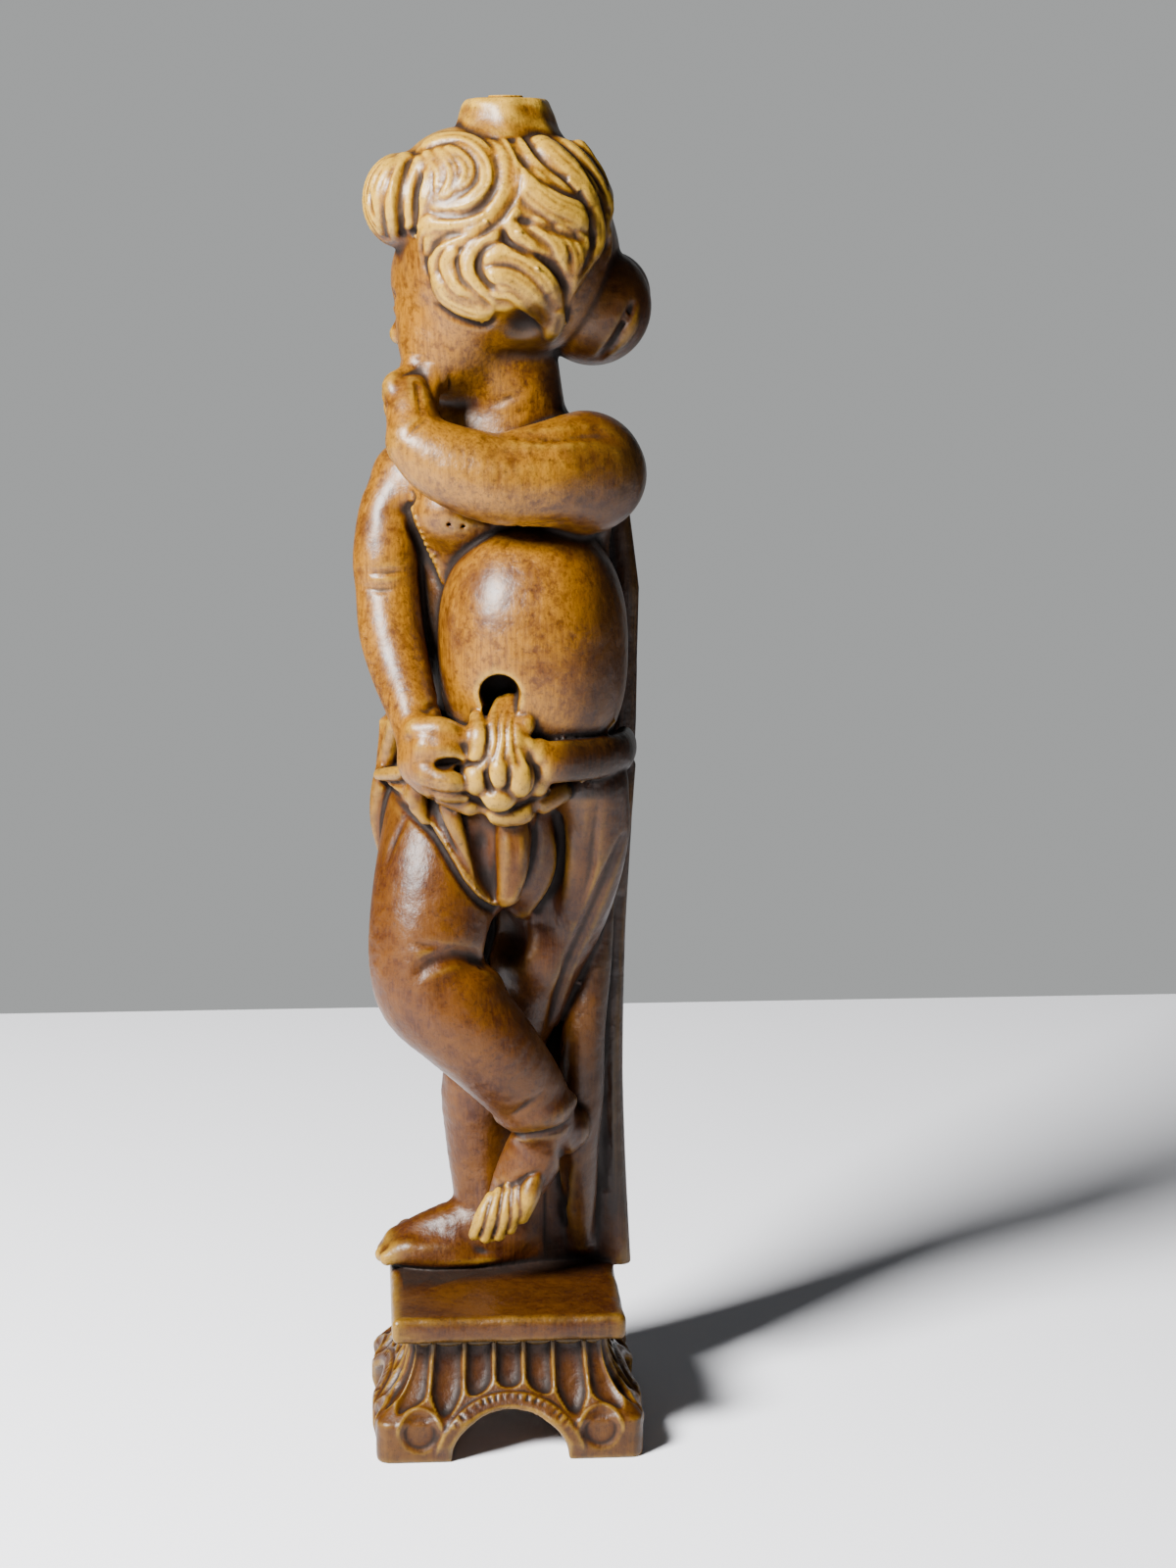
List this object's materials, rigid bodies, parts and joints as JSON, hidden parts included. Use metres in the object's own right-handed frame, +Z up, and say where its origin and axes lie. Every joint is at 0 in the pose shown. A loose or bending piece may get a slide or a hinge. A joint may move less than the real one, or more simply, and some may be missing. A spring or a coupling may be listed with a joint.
{
  "type": "carved wooden cherub statue",
  "caption": "Carved wooden statue of a standing child with a knotted loincloth and cloak, on a square slab over a fluted foot, with a round stub on the head.",
  "frame": {"origin": "middle of the foot's footprint, at the level of its underside", "axes": "+Z up along the statue's height, -Y the way the belly faces, +X towards the figure's left arm"},
  "size_m": [0.0896, 0.082, 0.4],
  "materials": {
    "figure_wood": "stained and waxed, worn pale on the high spots",
    "foot_wood": "stained dark reddish brown, worn along the edges"
  },
  "bodies": {
    "root": {"cherub_figure": "figure_wood", "fluted_foot": "foot_wood"}
  },
  "joints": []
}
